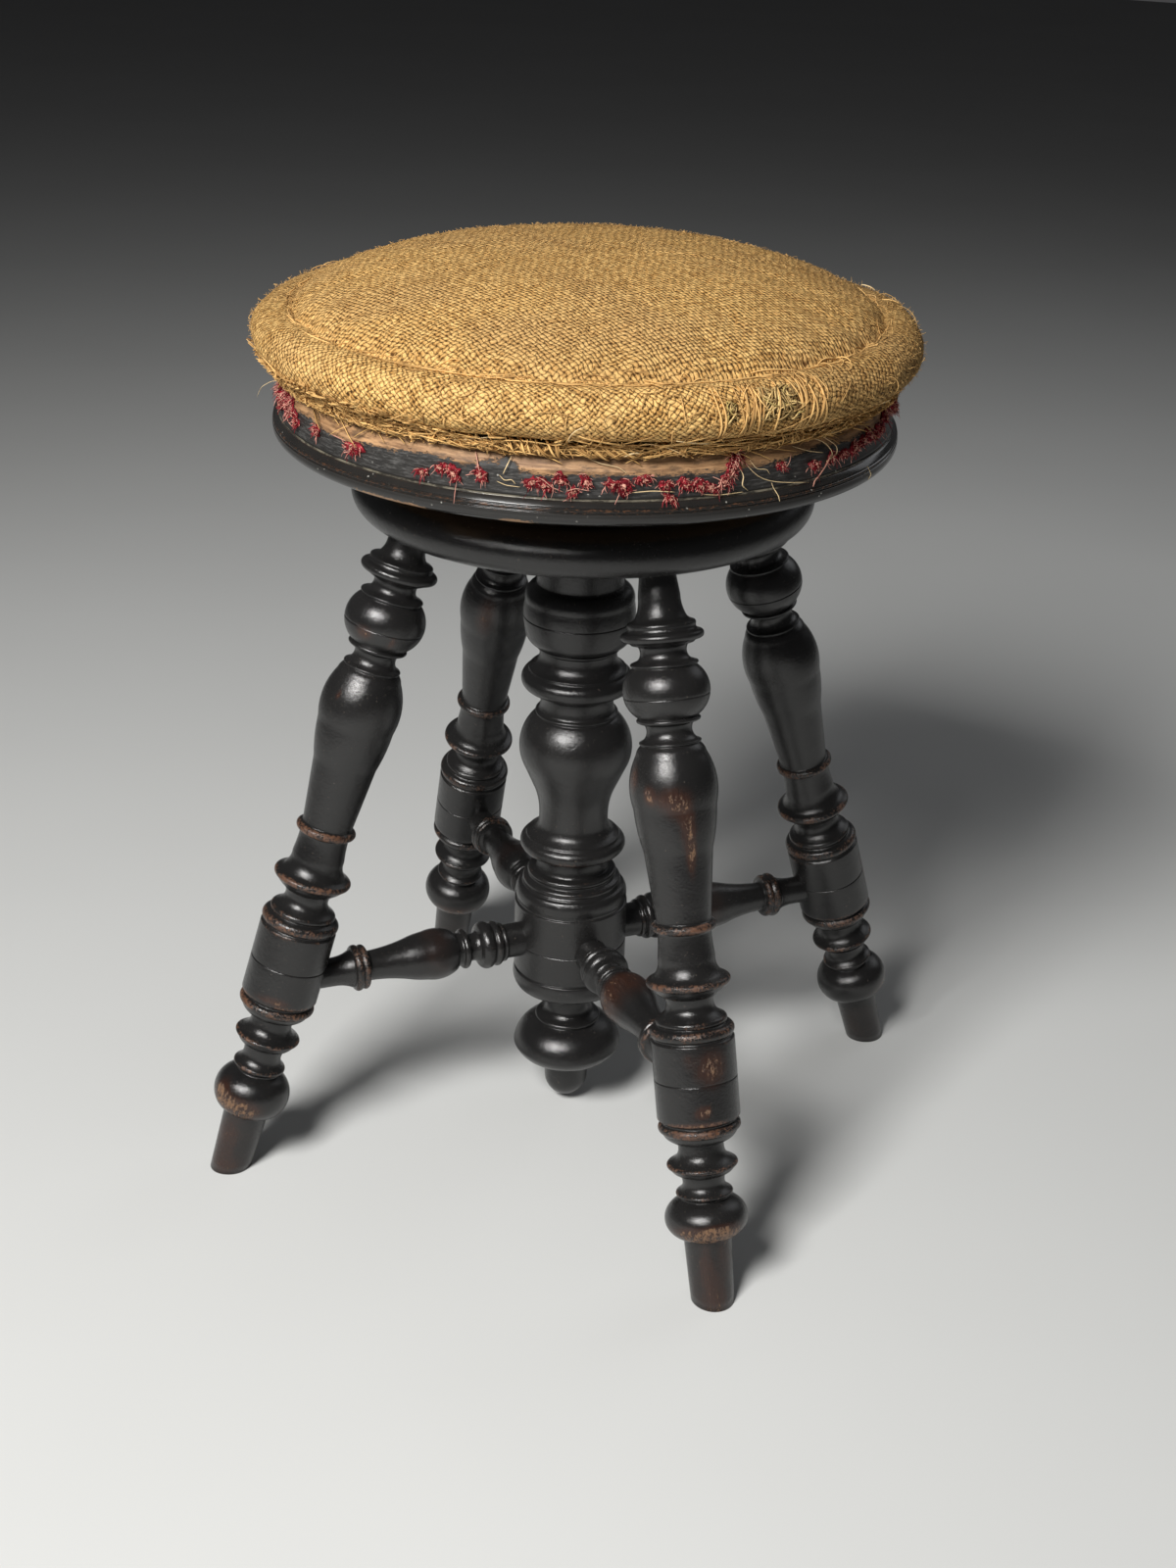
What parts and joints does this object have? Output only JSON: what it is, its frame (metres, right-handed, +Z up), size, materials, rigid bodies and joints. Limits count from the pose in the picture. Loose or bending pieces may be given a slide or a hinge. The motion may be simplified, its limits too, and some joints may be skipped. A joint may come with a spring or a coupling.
{
  "type": "revolving piano stool",
  "caption": "Turned and ebonised piano stool: splayed legs and stretchers round a centre column, and a round stuffed seat that winds up on an iron screw.",
  "frame": {"origin": "on the floor, under the middle of the seat", "axes": "+Z up along the screw; legs at 45, 135, 225 and 315 degrees from +X, counted towards +Y; the seat is wound right down"},
  "size_m": [0.3524, 0.3524, 0.5208],
  "materials": {
    "ebonised_wood": "satin black stain and polish over hardwood",
    "bare_wood": "matt, unpainted",
    "cast_iron": "matt, dark",
    "steel": "dull, greased",
    "hessian": "coarse golden-tan plain weave"
  },
  "bodies": {
    "base": {"head_disc": "ebonised_wood", "centre_column": "ebonised_wood", "leg_back_right": "ebonised_wood", "leg_back_left": "ebonised_wood", "leg_front_left": "ebonised_wood", "leg_front_right": "ebonised_wood", "stretcher_back_right": "ebonised_wood", "stretcher_back_left": "ebonised_wood", "stretcher_front_left": "ebonised_wood", "stretcher_front_right": "ebonised_wood", "screw_nut": "cast_iron", "nut_screws": "steel"},
    "lift": {"stop_washer": "steel"},
    "seat": {"seat_screw": "steel", "stop_pin": "steel", "seat_plate": "cast_iron", "plate_screws": "steel", "seat_board": "bare_wood", "seat_hoop": "ebonised_wood", "edge_roll": "hessian", "seat_crown": "hessian"}
  },
  "joints": [
    {"name": "seat_lift", "type": "slide", "parent": "base", "child": "lift", "axis": [0, 0, 1], "range_m": [0, 0.108]},
    {"name": "seat_turn", "type": "hinge", "parent": "lift", "child": "seat", "pos_m": [0, 0, 0.38], "axis": [0, 0, 1], "range_deg": [0, 6480]}
  ],
  "couplings": [
    {"joint": "seat_lift", "follows": "seat_turn", "m_per_rad": 0.00095493}
  ]
}
